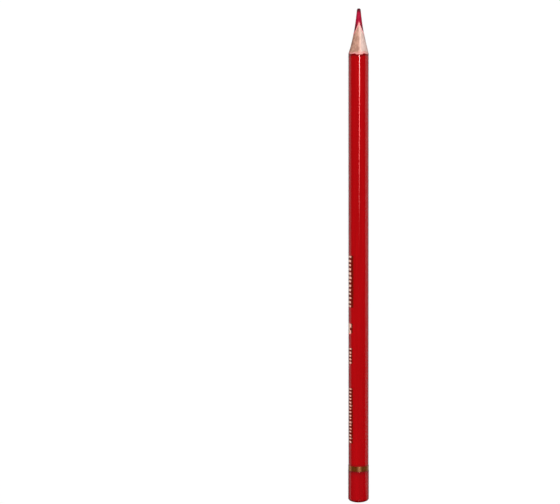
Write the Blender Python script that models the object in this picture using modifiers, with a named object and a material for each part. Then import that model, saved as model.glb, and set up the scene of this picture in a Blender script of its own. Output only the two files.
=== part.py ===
"""A sharpened six-sided marking pencil, lying on one of its flats with the point toward +Y.

Two grooved wooden slats are glued round a coloured core. The bar is primed, lacquered, ringed with foil and
dipped at the blunt end, then ground to a hollow point. Metres, +Z up.
Every piece is modelled upright on the pencil's own axis, z being the distance from the blunt end, and a parent
empty lays the whole pencil down.
"""

import math

import bmesh
import bpy
from mathutils import Matrix, Vector

# Barrel
LENGTH = 0.175
BARREL_FLAT_R = 0.00353
BARREL_FILLET = 0.0026
LACQUER_T = 0.0001
UNDERCOAT_T = 0.00005

# Core and glue
CORE_R = 0.00172
BOND_T = 0.00005
SEAM_T = 0.00006
SEAM_ANGLE = math.radians(-60)

# Sharpened point
POINT_LENGTH = 0.0158
POINT_TIP_R = 0.0007
POINT_TIP_SLOPE = 0.1
POINT_FLARE_POWER = 2.5
WOOD_STEP = 0.00007
TONGUE_LENGTH = 0.0037
TIP_FLAT_R = 0.0002
TIP_ROUND_LENGTH = 0.0008

# Foil band and dipped end
DIP_LENGTH = 0.0116
DIP_T = 0.0001
DIP_FLOOR_T = 0.0012
DIP_DOME_HEIGHT = 0.0015
DIP_DOME_R_BEYOND_CORNER = 0.00006
BAND_WIDTH = 0.0019
BAND_T = 0.00004

# Clearances
LAYER_GAP = 0.00002
GLUE_COVER = 0.00015
CUT_MARGIN = 0.001

# Faceting
SIDES = 6
FILLET_SEGMENTS = 6
TURN_STEPS = 60
POINT_RINGS = 12
TIP_RINGS = 4
DOME_RINGS = 7
AXIS_MERGE = 0.000001

# Values that follow from the sizes above
HALF_CORNER = math.pi / SIDES
UNDERCOAT_FLAT_R = BARREL_FLAT_R - LACQUER_T - LAYER_GAP
WOOD_FLAT_R = UNDERCOAT_FLAT_R - UNDERCOAT_T - LAYER_GAP
BAND_FLAT_R = BARREL_FLAT_R + LAYER_GAP + BAND_T
DIP_FLAT_R = BARREL_FLAT_R + LAYER_GAP + DIP_T
GROOVE_R = CORE_R + 2 * LAYER_GAP + BOND_T
WOOD_END = DIP_FLOOR_T + LAYER_GAP
BAND_START = DIP_LENGTH + LAYER_GAP


def fillet_at(flat_r):
    """The corner fillet of a layer at this distance from the axis, so that all layers stay parallel."""
    return min(BARREL_FILLET + flat_r - BARREL_FLAT_R, 0.95 * flat_r)


def corner_r(flat_r):
    """The distance from the axis to the middle of a rounded corner, as an even bevel of profile 0.5 leaves it."""
    setback = fillet_at(flat_r) * math.tan(HALF_CORNER)
    cut_off = 2 * setback * math.sin(HALF_CORNER) * (1 - math.cos(math.pi / 4))
    return flat_r / math.cos(HALF_CORNER) - cut_off


def point_r(from_tip):
    """The radius of the ground point at a distance from the tip: nearly straight there, flaring to the paint."""
    base_r = (BARREL_FLAT_R + corner_r(BARREL_FLAT_R)) / 2
    flare = (base_r - POINT_TIP_R - POINT_TIP_SLOPE * POINT_LENGTH) / POINT_LENGTH**POINT_FLARE_POWER
    return POINT_TIP_R + POINT_TIP_SLOPE * from_tip + flare * from_tip**POINT_FLARE_POWER


def from_tip_at(radius):
    """The distance from the tip where the ground point has this radius."""
    near = 0.0
    far = 2 * POINT_LENGTH
    for _ in range(50):
        middle = (near + far) / 2
        if point_r(middle) < radius:
            near = middle
        else:
            far = middle
    return middle


CORE_SHOULDER = from_tip_at(CORE_R + WOOD_STEP)
BOND_STOP = from_tip_at(GROOVE_R + GLUE_COVER)


def add_collection(name):
    made = bpy.data.collections.new(name)
    bpy.context.scene.collection.children.link(made)
    return made


def make_material(name, colour, roughness, metallic=0.0):
    material = bpy.data.materials.new(name)
    material.use_nodes = True
    shader = material.node_tree.nodes["Principled BSDF"]
    shader.inputs["Base Color"].default_value = (*colour, 1.0)
    shader.inputs["Roughness"].default_value = roughness
    shader.inputs["Metallic"].default_value = metallic
    material.diffuse_color = (*colour, 1.0)
    return material


def place(obj, collection):
    """Links an object and hangs it on the pencil's axis."""
    for held in list(obj.users_collection):
        held.objects.unlink(obj)
    collection.objects.link(obj)
    obj.parent = axis_empty
    return obj


def new_object(name, mesh, collection):
    return place(bpy.data.objects.new(name, mesh), collection)


def as_cutter(obj):
    obj.hide_render = True
    obj.display_type = "WIRE"
    return obj


def boolean(obj, cutter, operation):
    modifier = obj.modifiers.new(f"{operation.lower()}_{cutter.name}", "BOOLEAN")
    modifier.operation = operation
    modifier.solver = "EXACT"
    modifier.object = cutter


def finish(obj, material):
    obj.data.materials.append(material)
    obj.data.shade_smooth()
    obj.data.set_sharp_from_angle(angle=math.radians(32))
    return obj


def hex_bar(name, flat_r, low, high, collection):
    """An upright six-sided bar with rounded corners, one corner pointing along +X."""
    mesh = bpy.data.meshes.new(name)
    bm = bmesh.new()
    sharp_r = flat_r / math.cos(HALF_CORNER)
    bmesh.ops.create_cone(
        bm, cap_ends=True, segments=SIDES, radius1=sharp_r, radius2=sharp_r, depth=high - low
    )
    bmesh.ops.rotate(bm, verts=bm.verts, matrix=Matrix.Rotation(HALF_CORNER, 3, "Z"))
    bmesh.ops.translate(bm, verts=bm.verts, vec=(0, 0, (low + high) / 2))
    upright = [e for e in bm.edges if abs(e.verts[0].co.z - e.verts[1].co.z) > (high - low) / 2]
    bmesh.ops.bevel(
        bm,
        geom=upright,
        offset=fillet_at(flat_r) * math.tan(HALF_CORNER),
        segments=FILLET_SEGMENTS,
        profile=0.5,
        affect="EDGES",
    )
    bm.to_mesh(mesh)
    bm.free()
    return new_object(name, mesh, collection)


def turned(name, profile, collection, closed=False):
    """Turns (radius, height) points about the axis. They run down the outer side."""
    mesh = bpy.data.meshes.new(name)
    points = [(radius, 0, height) for radius, height in profile]
    edges = [(i, i + 1) for i in range(len(points) - 1)]
    if closed:
        edges.append((len(points) - 1, 0))
    mesh.from_pydata(points, edges, [])
    obj = new_object(name, mesh, collection)
    screw = obj.modifiers.new("turn", "SCREW")
    screw.axis = "Z"
    screw.angle = 2 * math.pi
    screw.steps = TURN_STEPS
    screw.render_steps = TURN_STEPS
    screw.use_merge_vertices = True
    screw.merge_threshold = AXIS_MERGE
    return obj


def block(name, centre, size, turn):
    """A box cutter, turned about the pencil's axis."""
    bpy.ops.mesh.primitive_cube_add(size=1)
    obj = bpy.context.active_object
    obj.name = name
    obj.data.name = name
    rotation = Matrix.Rotation(turn, 4, "Z")
    obj.data.transform(rotation @ Matrix.Translation(centre) @ Matrix.Diagonal((*size, 1)))
    return as_cutter(place(obj, cutters))


def outline_cutter(name, outline, depth, turn):
    """A flat outline given as (across the seam, height), extruded both ways along the seam plane."""
    curve = bpy.data.curves.new(name, "CURVE")
    curve.dimensions = "2D"
    curve.fill_mode = "BOTH"
    curve.extrude = depth / 2
    spline = curve.splines.new("POLY")
    spline.points.add(len(outline) - 1)
    for point, (across, height) in zip(spline.points, outline):
        point.co = (across, height, 0, 1)
    spline.use_cyclic_u = True
    guide = bpy.data.objects.new(name + "_guide", curve)
    bpy.context.scene.collection.objects.link(guide)
    guide.matrix_world = Matrix.Rotation(turn, 4, "Z") @ Matrix.Rotation(math.radians(90), 4, "X")
    bpy.context.view_layer.update()
    graph = bpy.context.evaluated_depsgraph_get()
    mesh = bpy.data.meshes.new_from_object(guide.evaluated_get(graph))
    mesh.name = name
    mesh.transform(guide.matrix_world)
    bpy.data.objects.remove(guide)
    bm = bmesh.new()
    bm.from_mesh(mesh)
    bmesh.ops.remove_doubles(bm, verts=bm.verts, dist=AXIS_MERGE)
    bmesh.ops.recalc_face_normals(bm, faces=bm.faces)
    bm.to_mesh(mesh)
    bm.free()
    return as_cutter(new_object(name, mesh, cutters))


def core_r(from_tip):
    """The ground core lies a little below the wood, as the softer material."""
    return min(CORE_R, point_r(from_tip) - WOOD_STEP)


def tip_profile():
    """The blunted end of the core, rounded from a small flat into the point."""
    shoulder_r = core_r(TIP_ROUND_LENGTH)
    profile = [(0, LENGTH), (TIP_FLAT_R, LENGTH)]
    for ring in range(1, TIP_RINGS + 1):
        share = ring / TIP_RINGS
        swell = math.sqrt(1 - (1 - share) ** 2)
        profile.append((TIP_FLAT_R + (shoulder_r - TIP_FLAT_R) * swell, LENGTH - share * TIP_ROUND_LENGTH))
    return profile


def core_point_profile(start, gap=0.0):
    """The ground part of the core from a distance behind the tip down to its shoulder."""
    rings = range(1, POINT_RINGS + 1)
    stations = [start + (CORE_SHOULDER - start) * ring / POINT_RINGS for ring in rings]
    return [(core_r(station) + gap, LENGTH - station) for station in stations]


def make_point_envelope():
    """What the grinding leaves: the hollow point above a plain round bar that clears the barrel."""
    clear_r = corner_r(DIP_FLAT_R) + CUT_MARGIN
    widest = from_tip_at(clear_r)
    rings = range(POINT_RINGS + 1)
    profile = [(0, LENGTH)]
    profile += [(point_r(widest * ring / POINT_RINGS), LENGTH - widest * ring / POINT_RINGS) for ring in rings]
    profile += [(clear_r, -CUT_MARGIN), (0, -CUT_MARGIN)]
    return as_cutter(turned("point_envelope", profile, cutters))


def make_groove_cutter():
    """The hollow for the core: wide enough for the glue in the barrel, close to the core in the point."""
    top = LENGTH + CUT_MARGIN
    start = TIP_ROUND_LENGTH
    fine_r = core_r(start) + LAYER_GAP
    profile = [(0, top), (fine_r, top), (fine_r, LENGTH - start)]
    profile += core_point_profile(start, LAYER_GAP)
    profile += [
        (CORE_R + LAYER_GAP, LENGTH - BOND_STOP),
        (GROOVE_R, LENGTH - BOND_STOP),
        (GROOVE_R, -CUT_MARGIN),
        (0, -CUT_MARGIN),
    ]
    return as_cutter(turned("groove_cutter", profile, cutters))


def make_tongue_cutter():
    """Clears the wood above a roof-shaped edge whose ridge lies on the glued seam."""
    shoulder = LENGTH - CORE_SHOULDER
    steep = TONGUE_LENGTH / CORE_R
    wide = corner_r(BARREL_FLAT_R) + CUT_MARGIN
    ridge = shoulder + TONGUE_LENGTH
    eaves = ridge - steep * wide
    top = LENGTH + 2 * CUT_MARGIN
    outline = [(0, ridge), (wide, eaves), (wide, top), (-wide, top), (-wide, eaves)]
    return outline_cutter("tongue_cutter", outline, 2 * wide, SEAM_ANGLE + math.radians(90))


def make_slat(side):
    """Half of the wooden bar: side is 1 or -1 across the seam."""
    name = "slat_right" if side > 0 else "slat_left"
    reach = 2 * corner_r(BARREL_FLAT_R)
    face = SEAM_T / 2 + LAYER_GAP
    height = LENGTH + 2 * CUT_MARGIN
    centre = Vector((0, side * (face + reach / 2), LENGTH / 2))
    keep = block(name + "_half", centre, (2 * reach, reach, height), SEAM_ANGLE)
    slat = hex_bar(name, WOOD_FLAT_R, WOOD_END, LENGTH, pencil)
    boolean(slat, point_envelope, "INTERSECT")
    boolean(slat, keep, "INTERSECT")
    boolean(slat, groove_cutter, "DIFFERENCE")
    boolean(slat, tongue_cutter, "DIFFERENCE")
    colour = (0.85, 0.57, 0.47) if side > 0 else (0.55, 0.31, 0.22)
    return finish(slat, make_material(name, colour, 0.7))


def make_glue_seam(side):
    """The glue film between the slats, on one side of the core: side is 1 toward the front ridge."""
    name = "glue_seam_front" if side > 0 else "glue_seam_back"
    reach = 2 * corner_r(BARREL_FLAT_R)
    height = LENGTH + 2 * CUT_MARGIN
    centre = Vector((side * reach / 2, 0, LENGTH / 2))
    keep = block(name + "_slab", centre, (reach, SEAM_T, height), SEAM_ANGLE)
    seam = hex_bar(name, WOOD_FLAT_R, WOOD_END, LENGTH, pencil)
    boolean(seam, point_envelope, "INTERSECT")
    boolean(seam, keep, "INTERSECT")
    boolean(seam, groove_cutter, "DIFFERENCE")
    boolean(seam, tongue_cutter, "DIFFERENCE")
    return finish(seam, make_material(name, (0.75, 0.52, 0.38), 0.5))


def make_core():
    profile = tip_profile() + core_point_profile(TIP_ROUND_LENGTH)
    profile += [(CORE_R, WOOD_END), (0, WOOD_END)]
    core = turned("lead_core", profile, pencil)
    return finish(core, make_material("lead_core", (0.42, 0.014, 0.05), 0.55))


def make_core_bond():
    inner_r = CORE_R + LAYER_GAP
    outer_r = inner_r + BOND_T
    top = LENGTH - BOND_STOP - LAYER_GAP
    profile = [(outer_r, top), (outer_r, WOOD_END), (inner_r, WOOD_END), (inner_r, top)]
    bond = turned("core_bond", profile, pencil, closed=True)
    return finish(bond, make_material("core_bond", (0.8, 0.72, 0.55), 0.5))


def make_sleeve(name, flat_r, inner_flat_r, low, high, material):
    """A six-sided skin. Its hollow runs on past both ends."""
    hollow = as_cutter(hex_bar(name + "_hollow", inner_flat_r, low - CUT_MARGIN, high + CUT_MARGIN, cutters))
    sleeve = hex_bar(name, flat_r, low, high, pencil)
    boolean(sleeve, hollow, "DIFFERENCE")
    return finish(sleeve, material)


def make_undercoat():
    material = make_material("undercoat", (0.9, 0.62, 0.58), 0.6)
    inner_r = UNDERCOAT_FLAT_R - UNDERCOAT_T
    skin = make_sleeve("undercoat", UNDERCOAT_FLAT_R, inner_r, WOOD_END, LENGTH, material)
    boolean(skin, point_envelope, "INTERSECT")


def make_lacquer_coat():
    material = make_material("lacquer_coat", (0.42, 0.003, 0.005), 0.15)
    inner_r = BARREL_FLAT_R - LACQUER_T
    skin = make_sleeve("lacquer_coat", BARREL_FLAT_R, inner_r, WOOD_END, LENGTH, material)
    boolean(skin, point_envelope, "INTERSECT")


def make_gold_band():
    material = make_material("gold_band", (0.45, 0.27, 0.09), 0.3, metallic=1.0)
    inner_r = BAND_FLAT_R - BAND_T
    make_sleeve("gold_band", BAND_FLAT_R, inner_r, BAND_START, BAND_START + BAND_WIDTH, material)


def make_end_dip_cap():
    """The dipped paint over the blunt end: a six-sided cup whose closed end swells outward."""
    dome_r = corner_r(DIP_FLAT_R) + DIP_DOME_R_BEYOND_CORNER
    profile = [(0, DIP_LENGTH + CUT_MARGIN), (dome_r, DIP_LENGTH + CUT_MARGIN)]
    for ring in range(DOME_RINGS, -1, -1):
        lean = math.pi / 2 * ring / DOME_RINGS
        profile.append((dome_r * math.sin(lean), DIP_DOME_HEIGHT * (1 - math.cos(lean))))
    dome = as_cutter(turned("dip_dome", profile, cutters))
    hollow_r = DIP_FLAT_R - DIP_T
    hollow = as_cutter(hex_bar("dip_hollow", hollow_r, DIP_FLOOR_T, DIP_LENGTH + CUT_MARGIN, cutters))
    cap = hex_bar("end_dip_cap", DIP_FLAT_R, -CUT_MARGIN, DIP_LENGTH, pencil)
    boolean(cap, dome, "INTERSECT")
    boolean(cap, hollow, "DIFFERENCE")
    return finish(cap, make_material("end_dip_cap", (0.4, 0.004, 0.006), 0.2))


for old in list(bpy.data.objects):
    bpy.data.objects.remove(old)

pencil = add_collection("marking_pencil")
cutters = add_collection("cutters")

# Lays the upright pencil down: its z becomes +Y, and the dipped end's lowest flat touches z = 0.
axis_empty = bpy.data.objects.new("pencil_axis", None)
pencil.objects.link(axis_empty)
axis_empty.location = (0, -LENGTH / 2, DIP_FLAT_R)
axis_empty.rotation_euler = (math.radians(-90), 0, 0)

point_envelope = make_point_envelope()
groove_cutter = make_groove_cutter()
tongue_cutter = make_tongue_cutter()

make_core()
make_core_bond()
for side in (1, -1):
    make_slat(side)
    make_glue_seam(side)
make_undercoat()
make_lacquer_coat()
make_gold_band()
make_end_dip_cap()
bpy.context.view_layer.update()
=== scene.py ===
"""The looks of a sharpened red marking pencil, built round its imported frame.

The frame lies along Y with the point toward +Y. An angle round the axis is measured from +Z toward +X, so the
flats are at 0, 60, 120 degrees and so on, and the glued seam runs through the ridges at 30 and 210 degrees.
Along the axis, s is a distance from the blunt end and from_tip one from the tip. Metres, +Z up.
"""

import math

import bmesh
import bpy
from mathutils import Matrix, Vector, noise


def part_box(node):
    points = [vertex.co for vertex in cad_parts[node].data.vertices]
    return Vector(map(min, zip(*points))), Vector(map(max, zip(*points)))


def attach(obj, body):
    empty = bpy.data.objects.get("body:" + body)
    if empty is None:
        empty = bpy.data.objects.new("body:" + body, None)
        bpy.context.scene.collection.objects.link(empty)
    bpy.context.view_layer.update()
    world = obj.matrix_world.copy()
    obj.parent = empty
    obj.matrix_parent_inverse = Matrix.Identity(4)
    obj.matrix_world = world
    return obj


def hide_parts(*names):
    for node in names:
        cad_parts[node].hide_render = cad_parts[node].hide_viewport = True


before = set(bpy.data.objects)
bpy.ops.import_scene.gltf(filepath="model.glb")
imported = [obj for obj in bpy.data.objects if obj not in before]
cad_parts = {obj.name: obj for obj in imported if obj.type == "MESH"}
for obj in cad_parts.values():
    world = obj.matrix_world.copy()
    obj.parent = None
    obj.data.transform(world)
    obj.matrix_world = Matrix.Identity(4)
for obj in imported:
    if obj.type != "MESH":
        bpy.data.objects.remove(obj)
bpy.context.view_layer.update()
BODY = "root"

# Sizes read from the frame
cap_low, cap_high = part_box("end_dip_cap")
paint_low, paint_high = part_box("lacquer_coat")
primer_low, primer_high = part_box("undercoat")
band_low, band_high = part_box("gold_band")
core_low, core_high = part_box("lead_core")
bond_low, bond_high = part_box("core_bond")

AXIS_Z = (cap_low.z + cap_high.z) / 2
BLUNT_Y = cap_low.y
TIP_Y = core_high.y
LENGTH = TIP_Y - BLUNT_Y
CAP_FLAT = (cap_high.z - cap_low.z) / 2
CAP_CORNER = (cap_high.x - cap_low.x) / 2
PAINT_FLAT = (paint_high.z - paint_low.z) / 2
PRIMER_FLAT = (primer_high.z - primer_low.z) / 2
BAND_FLAT = (band_high.z - band_low.z) / 2
CORE_R = (core_high.x - core_low.x) / 2
BOND_R = (bond_high.x - bond_low.x) / 2
WOOD_START = paint_low.y - BLUNT_Y
BAND_START = band_low.y - BLUNT_Y
BAND_END = band_high.y - BLUNT_Y
CAP_LENGTH = cap_high.y - BLUNT_Y

# Sizes of the construction that a box doesn't show
LAYER_GAP = 0.00002
PAINT_T = 0.0001
PRIMER_T = 0.00005
BAND_T = 0.00004
SEAM_T = 0.00006
CAP_T = 0.0001
CAP_FLOOR_T = 0.0012
CAP_DOME_HEIGHT = 0.0015
DOME_BEYOND_CORNER = 0.00006
CAP_DOME_R = CAP_CORNER + DOME_BEYOND_CORNER
CAP_EDGE_HEIGHT = 0.0003
CAP_EDGE_DEPTH = 0.00016
POINT_LENGTH = 0.0158
POINT_TIP_R = 0.0007
POINT_TIP_SLOPE = 0.1
POINT_FLARE_POWER = 2.5
WOOD_STEP = 0.00007
SEAM_STEP = 0.00003
SKIN_CUT_RUN = 3
GLUE_COVER = 0.00015
TIP_FLAT_R = 0.0002
TIP_ROUND_LENGTH = 0.0008
TONGUE_APEX_FROM_TIP = 0.0047
TONGUE_STEEP = 2.55
TONGUE_BOW = 230.0
TONGUE_SHIFT = 0.00007
CORE_BARE = 0.0095

# The soft lip of the dipped end, in shares of half its thickness
LIP_SHOULDER_DEPTH = 0.3
LIP_SHOULDER_RUN = 0.6
LIP_RUN = 1.6

# The ground point leans to one side from where the paint ends
POINT_LEAN = 0.0001
LEAN_FADE = (0.85 * POINT_LENGTH, 0.99 * POINT_LENGTH)

# The hexagon, as a smaller sharp one grown by the corner fillet
SIDES = 6
HALF_CORNER = math.pi / SIDES
CORE_HEX = (CAP_CORNER - CAP_FLAT) / (1 / math.cos(HALF_CORNER) - 1)
HALF_FLAT = CORE_HEX * math.tan(HALF_CORNER)
CORNER_CENTRE = CORE_HEX / math.cos(HALF_CORNER)
WOOD_FLAT = PRIMER_FLAT - PRIMER_T - LAYER_GAP
SEAM_ANGLE = math.radians(30)
CREST_REACH = 0.0008

# The hollow grind, by its radius where the paint ends
BASE_R = (PAINT_FLAT + CORNER_CENTRE + PAINT_FLAT - CORE_HEX) / 2
FLARE = (BASE_R - POINT_TIP_R - POINT_TIP_SLOPE * POINT_LENGTH) / POINT_LENGTH**POINT_FLARE_POWER

# Small unevenness: the depth of grooves and swells (they grow over the calm stretch by an end), and how far
# edges fall back or wander
SKIN_SWELL = 0.000004
SKIN_CALM = 0.004
CAP_SAG = 0.000005
CAP_CALM = 0.0012
PAINT_RAG = 0.00007
PRIMER_RAG = 0.00003
WOOD_RAG = 0.00005
WORN_RAG = 0.0003
BAND_RAG = 0.00002
GRIND_DEPTH = 0.000009
FIBRE_DEPTH = 0.000012
RING_DEPTH = 0.000008
RUB_DEPTH = 0.000022
DENT_DEPTH = 0.00003
SEAM_SUNK = 0.000004
SEAM_BULGE = 0.000003

# Where a mask or an unevenness fades, as the distances at which the fade begins and ends
EDGE_DARK_FADE = (0.00012, 0.00075)
BESIDE_BAND_DARK_FADE = (0.0001, 0.0009)
FOIL_THIN_FADE = (0.0001, 0.0007)
END_SHADE_FADE = (0.0004, 0.0018)
CAP_RIM_FADE = 0.00075
DUST_FADE = (0.0, 0.0007)
SEAM_DUST_FADE = (0.0006, 0.0014)
SEAM_DUST_REACH = (0.0003, 0.0006)
SMEAR_FADE = (0.0001, 0.0016)
OUTWARD_SHADING_FADE = (0.0003, 0.0008)
SOAK_FADE = (0.0001, 0.00045)
GRIND_PAINT_FADE = (0.0, 0.0006)
GRIND_CORE_FADE = (0.0, 0.0003)
CORE_MARKS_FADE = (0.009, 0.0095)
BY_WOOD_DARK_REACH = (0.0003, 0.0008)
BY_WOOD_DARK_FADE = (0.0006, 0.0019)
APEX_REACH = (0.0002, 0.0006)
APEX_FADE = (0.0, 0.0009)
WORN_FADE = (0.0005, 0.0017)

# Near the seam the wood's cut edge is even, by the sine of the angle from the seam
WOOD_RAG_SINES = (0.05, 0.3)

# How strongly a mask shows at its full
EDGE_DARK_SHADE = 0.85
BESIDE_BAND_DARK_SHADE = 0.35
# Painted shade on the domed end
END_PAINTED_SHADE = 0.45
CAP_RIM_SHADE = 0.75
# Painted shade along the ridges of the paint
CREST_SHADE = 0.12
FOIL_THIN_SHADE = 0.7

# Stamped foil. A run of ticks is (start, count, pitch, width, low across, high across), and a single bar is
# (start, length, low across, high across). Both run from their start toward the blunt end.
MARK_FLAT = math.radians(-60)
MARK_T = 0.000012
MARK_RAG = 0.00003
LONG_MARKS = 0.0887
BLOCK_MARKS = 0.0646
SHORT_MARKS = 0.0559
FINE_MARKS = 0.0415
TICK_RUNS = (
    (LONG_MARKS, 13, 0.00146, 0.00078, 0.0002, 0.0024),
    (BLOCK_MARKS, 2, 0.0023, 0.0011, 0.0002, 0.0024),
    (SHORT_MARKS, 5, 0.00122, 0.00062, 0.0013, 0.0025),
    (FINE_MARKS, 17, 0.00118, 0.00060, 0.0012, 0.0025),
)
LONG_TICK_EVERY = 5
LONG_TICK_EXTRA = 0.0003
TICK_REACH_SPREAD = 0.00015
TICK_WIDTH_SPREAD = 0.35
TICK_STRAY = 0.2
BLOCK = (BLOCK_MARKS, 0.0034, 0.0003, 0.0018)
# The strips are partly print and partly a painted reflection: their dark red-brown stands for foil that
# mirrors dark surroundings
STRIPS = (
    (LONG_MARKS, 0.0184, 0.0004, 0.0034),
    (BLOCK_MARKS, 0.0034, 0.0018, 0.0031),
    (SHORT_MARKS, 0.0056, 0.0009, 0.0030),
    (FINE_MARKS, 0.0198, 0.0009, 0.0032),
)

# Mesh density
FLAT_STEPS = 4
HALF_ARC_STEPS = 7
TURN_STEPS = 96
POINT_ROWS = 130
SLAT_ROWS = 12
BARREL_ROWS = 110
BARREL_CROWDING = 2.2
BAND_SIDE_ROW = 0.0001
BAND_SIDE_ROWS = 9
BAND_ROWS = 12
CAP_ROWS = 40
CAP_EDGE_ROWS = 7
DOME_ROWS = 15
TIP_ROWS = 8
CORE_ROWS = 120
CORE_HIDDEN_ROW = 0.02
TIP_FACE_SHARES = (0.0, 0.35, 0.7)
MARK_STEPS = 16
HALVINGS = 40
SHARP_ANGLE = math.radians(35)
POLE_MERGE = 1e-9

# Camera and photograph
PHOTO_W = 560
PHOTO_H = 504
AXIS_PX = 358.5
TIP_PX = 8.4
BLUNT_PX = 501.9
VIEW_ANGLE = math.radians(24.5)
EYE_DISTANCE = 1.0
EYE_PAST_TIP = 0.05
SENSOR = 36.0
FOCAL_RANGE_PX = (100.0, 100000.0)
CLIP_RANGE = (0.01, 50.0)

# Floor: its greys, and the pale card on it that only the gloss sees
FLOOR_SIZE = 12.0
FLOOR_GREY = 0.35
FLOOR_SEEN_GREY = 0.08
FLOOR_GLOW = 0.935
CARD_GREY = 0.62
CARD_BEYOND_GREY = 0.03
CARD_EDGE = 0.038
CARD_FADE = 0.005
CARD_DIM = 0.72
CARD_DIM_Y = -0.06
CARD_FULL_Y = 0.07
CARD_START_Y = BLUNT_Y - 0.004
CARD_WHOLE_Y = BLUNT_Y + 0.002

# World: soft light all round, and the pale panel that only the gloss sees
AMBIENT = 0.18
AMBIENT_LOW = 0.04
AMBIENT_LOW_Y = -0.9
AMBIENT_FULL_Y = -0.2
PANEL_GLOW = 0.62
PANEL_TINT = (1.0, 0.6, 0.6)
PANEL_TOP = math.tan(math.radians(28))
PANEL_FADE = 0.06
LEAST_LEFTWARD = 0.0001
DIM_GLOW = 0.07

# Lamps
LAMP_WIDTH = 1.0
LAMP_DEPTH = 0.8
KEY_PLACE = (0.58, 0.32, 1.30)
KEY_WATTS = 20
FAR_PLACE = (0.62, 1.35, 0.95)
FAR_WATTS = 9
NEAR_PLACE = (0.62, -1.3, 0.95)
NEAR_WATTS = 3

# Ridge strip: along Y its light falls fast from the bright place, and slowly to nothing at the dark one
STRIP_ANGLE = math.radians(34)
STRIP_DISTANCE = 1.0
STRIP_WIDTH = 0.085
STRIP_LOW_Y = -0.13
STRIP_HIGH_Y = 0.05
STRIP_BRIGHT_Y = 0.0022
STRIP_DARK_Y = -0.126
STRIP_SLOW = 46.0
STRIP_FAST = 88.0
STRIP_FALL = 70.0
STRIP_TINT = (1.0, 0.22, 0.22)
STRIP_TURN = math.radians(-35)

# Linear colours, the deeper shade first where there are two
BLACK = (0.0, 0.0, 0.0)
LACQUER_SHADES = (0.385, 0.0012, 0.0026), (0.435, 0.0016, 0.0034)
DIP_SHADES = (0.375, 0.0013, 0.0034), (0.42, 0.0018, 0.0044)
EDGE_DARK_RED = (0.12, 0.004, 0.006)
CORE_SHADES = (0.33, 0.0045, 0.026), (0.41, 0.009, 0.041)
CORE_RUBBED = (0.50, 0.028, 0.072)
CORE_SPECK = (0.2, 0.004, 0.018)
CORE_BY_WOOD_DARK = (0.085, 0.013, 0.016)
CORE_APEX = (0.72, 0.10, 0.14)
CORE_WORN = (0.085, 0.006, 0.014)
PRIMER_SHADES = (0.70, 0.28, 0.26), (0.82, 0.40, 0.37)

# Woods as (outer side, beside the seam): painted light and shade across each slat, the pale slat darker
# outward and the brown one paler; and what stains them
PALE_WOOD = (0.63, 0.465, 0.41), (0.84, 0.57, 0.48)
PALE_WOOD_SMEAR = (1.0, 0.34, 0.38)
BROWN_WOOD = (0.51, 0.28, 0.205), (0.375, 0.18, 0.13)
BROWN_WOOD_SMEAR = (0.94, 0.26, 0.29)
GLUE_SOAK = (0.82, 0.54, 0.44)
PAINT_DUST = (0.70, 0.27, 0.24)

# Glues as (pale, deep)
SEAM_GLUE = (0.92, 0.62, 0.50), (0.80, 0.46, 0.34)
BOND_GLUE = (0.82, 0.74, 0.58), (0.70, 0.60, 0.42)

# Foils as (deep, bright, rubbed, painted glint along the ridges)
BAND_FOIL = (0.13, 0.034, 0.003), (0.19, 0.062, 0.008), (0.22, 0.024, 0.003), (0.38, 0.20, 0.08)
# A painted reflection: the dark red-brown of foil that mirrors dark surroundings
PAINTED_DARK_FOIL = (0.15, 0.004, 0.001), (0.20, 0.007, 0.002), (0.12, 0.003, 0.001), (0.15, 0.004, 0.001)
MARK_FOIL = (1.0, 0.69, 0.53), (1.0, 0.80, 0.64), (0.84, 0.42, 0.27), (1.0, 0.80, 0.64)


# Forms


def direction(angle):
    """Unit vector square to the axis, at an angle from +Z toward +X, as (x, z)."""
    return math.sin(angle), math.cos(angle)


def smooth(low, high, value):
    """0 below low, 1 above high, and an even slope between."""
    share = max(0.0, min(1.0, (value - low) / (high - low)))
    return share * share * (3 - 2 * share)


def wobble(x, y, z, octaves=3):
    """Smooth noise from about -1 to 1."""
    return noise.fractal(Vector((x, y, z)), 1.0, 2.0, octaves)


def dip(x, y, z, octaves=3):
    """Smooth noise from about 0 to 1."""
    return 0.5 + 0.5 * wobble(x, y, z, octaves)


def solve(low, high, below):
    """The place between low and high where below stops being true, by halving."""
    for _ in range(HALVINGS):
        middle = (low + high) / 2
        if below(middle):
            low = middle
        else:
            high = middle
    return middle


def world_point(x, z, s):
    """A point from its place across the axis and its distance from the blunt end."""
    lean = POINT_LEAN * (1 - smooth(*LEAN_FADE, LENGTH - s))
    side_x, side_z = direction(VIEW_ANGLE + math.pi / 2)
    return Vector((x + lean * side_x, BLUNT_Y + s, AXIS_Z + z + lean * side_z))


def outline_columns():
    """The columns of the sharp inner hexagon as (x, z, normal angle), from the seam's ridge round."""
    columns = []
    for side in range(SIDES):
        ridge = SEAM_ANGLE + side * 2 * HALF_CORNER
        flat = ridge + HALF_CORNER
        corner_x, corner_z = direction(ridge)
        for step in range(HALF_ARC_STEPS):
            normal = ridge + HALF_CORNER * step / HALF_ARC_STEPS
            columns.append((CORNER_CENTRE * corner_x, CORNER_CENTRE * corner_z, normal))
        normal_x, normal_z = direction(flat)
        for step in range(FLAT_STEPS + 1):
            along = HALF_FLAT * (2 * step / FLAT_STEPS - 1)
            x = CORE_HEX * normal_x + along * normal_z
            z = CORE_HEX * normal_z - along * normal_x
            columns.append((x, z, flat))
        corner_x, corner_z = direction(ridge + 2 * HALF_CORNER)
        for step in range(1, HALF_ARC_STEPS):
            normal = flat + HALF_CORNER * step / HALF_ARC_STEPS
            columns.append((CORNER_CENTRE * corner_x, CORNER_CENTRE * corner_z, normal))
    return columns


COLUMNS = outline_columns()


def column_at(column, flat_r):
    """Where a column lies on the layer with this flat radius, as (x, z)."""
    x, z, normal = column
    out = flat_r - CORE_HEX
    normal_x, normal_z = direction(normal)
    return x + out * normal_x, z + out * normal_z


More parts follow.
